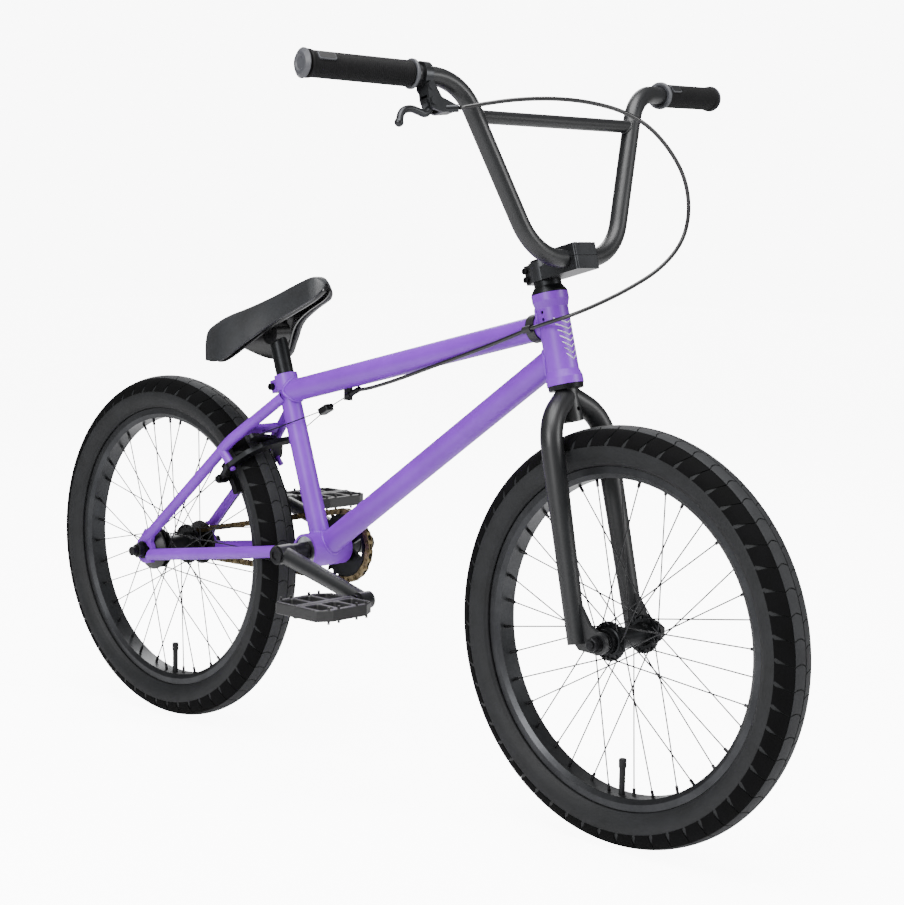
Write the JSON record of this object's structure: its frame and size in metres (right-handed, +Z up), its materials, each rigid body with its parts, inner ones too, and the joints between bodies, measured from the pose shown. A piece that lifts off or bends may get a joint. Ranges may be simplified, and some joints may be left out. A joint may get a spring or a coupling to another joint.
{
  "type": "bmx bike",
  "caption": "Freestyle BMX bicycle: steel frame, high handlebar, single-speed chain drive, fat street tyres and a rear rim brake worked by a hand lever.",
  "frame": {"origin": "on the ground, midway between the axles and in the middle plane of the frame", "axes": "+X forward towards the front wheel, +Y to the rider's left (the chain side), +Z up"},
  "size_m": [1.384, 0.7546, 0.9393],
  "materials": {
    "frame_paint": "satin",
    "black_paint": "satin",
    "black_alloy": "satin anodised",
    "bright_steel": "plated",
    "dark_steel": "black oxide",
    "chain_bronze": "bronze plated",
    "spoke_black": "gloss",
    "tyre_rubber": "matt",
    "tube_rubber": "matt",
    "grip_rubber": "matt",
    "pad_rubber": "matt",
    "black_plastic": "moulded",
    "grey_plastic": "moulded",
    "saddle_skin": "smooth synthetic",
    "housing": "extruded"
  },
  "bodies": {
    "frame": {"head_tube": "frame_paint", "top_tube": "frame_paint", "down_tube": "frame_paint", "seat_tube": "frame_paint", "bb_shell": "frame_paint", "rear_dropouts": "frame_paint", "chain_stays": "frame_paint", "seat_stays": "frame_paint", "brake_mounts": "frame_paint", "seat_post": "black_alloy", "saddle_pad": "saddle_skin", "saddle_base": "grey_plastic", "seat_bolts": "dark_steel", "headset_bearings": "bright_steel", "bb_bearings": "bright_steel", "rear_axle": "dark_steel", "hub_guards": "black_plastic", "chain": "chain_bronze", "cable_stop": "black_alloy", "cable_strap": "black_plastic", "brake_housing": "housing", "cable_loop": "housing", "straddle_cable": "bright_steel"},
    "steering": {"fork_steerer": "black_paint", "fork_legs": "black_paint", "front_axle": "dark_steel", "headset_rings": "black_alloy", "stem_body": "black_alloy", "stem_cap": "black_alloy", "stem_bolts": "dark_steel", "handlebar": "black_paint", "grips": "grip_rubber", "bar_end_plugs": "grey_plastic", "lever_bracket": "black_alloy"},
    "front_wheel": {"front_tyre": "tyre_rubber", "front_tube": "tube_rubber", "front_rim": "black_alloy", "front_spokes": "spoke_black", "front_hub": "black_alloy", "front_hub_bearings": "bright_steel"},
    "rear_wheel": {"rear_tyre": "tyre_rubber", "rear_tube": "tube_rubber", "rear_rim": "black_alloy", "rear_spokes": "spoke_black", "rear_hub": "black_alloy", "rear_hub_bearings": "bright_steel"},
    "driver": {"driver": "dark_steel"},
    "cranks": {"sprocket": "black_alloy", "crank_spindle": "dark_steel", "crank_arms": "black_paint", "crank_bolts": "dark_steel", "pedal_spindles": "dark_steel"},
    "right_pedal": {"right_pedal": "black_plastic"},
    "left_pedal": {"left_pedal": "black_plastic"},
    "brake_lever": {"brake_lever": "black_alloy"},
    "right_brake": {"right_brake_arm": "black_alloy", "right_brake_pad": "pad_rubber"},
    "left_brake": {"left_brake_arm": "black_alloy", "left_brake_pad": "pad_rubber"},
    "cable_carrier": {"cable_carrier": "black_alloy"}
  },
  "joints": [
    {"name": "steering", "type": "hinge", "parent": "frame", "child": "steering", "pos_m": [0.329, 0, 0.555], "axis": [-0.2588, 0, 0.9659], "range_deg": [-90, 90], "deforming": ["cable_loop"]},
    {"name": "front_wheel_spin", "type": "hinge", "parent": "steering", "child": "front_wheel", "pos_m": [0.435, 0, 0.257], "axis": [0, 1, 0], "continuous": true},
    {"name": "rear_wheel_spin", "type": "hinge", "parent": "frame", "child": "rear_wheel", "pos_m": [-0.435, 0, 0.257], "axis": [0, 1, 0], "continuous": true},
    {"name": "crank_spin", "type": "hinge", "parent": "frame", "child": "cranks", "pos_m": [-0.1065, 0, 0.295], "axis": [0, 1, 0], "continuous": true, "deforming": ["chain"]},
    {"name": "driver_spin", "type": "hinge", "parent": "frame", "child": "driver", "pos_m": [-0.435, 0.042, 0.257], "axis": [0, 1, 0], "continuous": true},
    {"name": "right_pedal_spin", "type": "hinge", "parent": "cranks", "child": "right_pedal", "pos_m": [0.0536, -0.145, 0.25508], "axis": [0, 1, 0], "continuous": true},
    {"name": "left_pedal_spin", "type": "hinge", "parent": "cranks", "child": "left_pedal", "pos_m": [-0.2666, 0.145, 0.33492], "axis": [0, 1, 0], "continuous": true},
    {"name": "brake_lever_pull", "type": "hinge", "parent": "steering", "child": "brake_lever", "pos_m": [0.29709, -0.215, 0.88536], "axis": [-0.9659, 0, -0.2588], "range_deg": [0, 22], "stiffness_Nm_per_rad": 0.5, "springref_deg": -5.73, "deforming": ["straddle_cable"]},
    {"name": "right_brake_swing", "type": "hinge", "parent": "frame", "child": "right_brake", "pos_m": [-0.25154, -0.045, 0.40003], "axis": [0.6797, 0, -0.7335], "range_deg": [0, 5]},
    {"name": "left_brake_swing", "type": "hinge", "parent": "frame", "child": "left_brake", "pos_m": [-0.25834, 0.045, 0.40737], "axis": [-0.6797, 0, 0.7335], "range_deg": [0, 5]},
    {"name": "cable_carrier_slide", "type": "slide", "parent": "frame", "child": "cable_carrier", "axis": [0.8821, 0, 0.4711], "range_m": [0, 0.0075]}
  ],
  "couplings": [
    {"joint": "driver_spin", "follows": "crank_spin", "ratio": 2.6667},
    {"joint": "right_brake_swing", "follows": "brake_lever_pull", "ratio": 0.22727},
    {"joint": "left_brake_swing", "follows": "brake_lever_pull", "ratio": 0.22727},
    {"joint": "cable_carrier_slide", "follows": "brake_lever_pull", "m_per_rad": 0.019532}
  ]
}
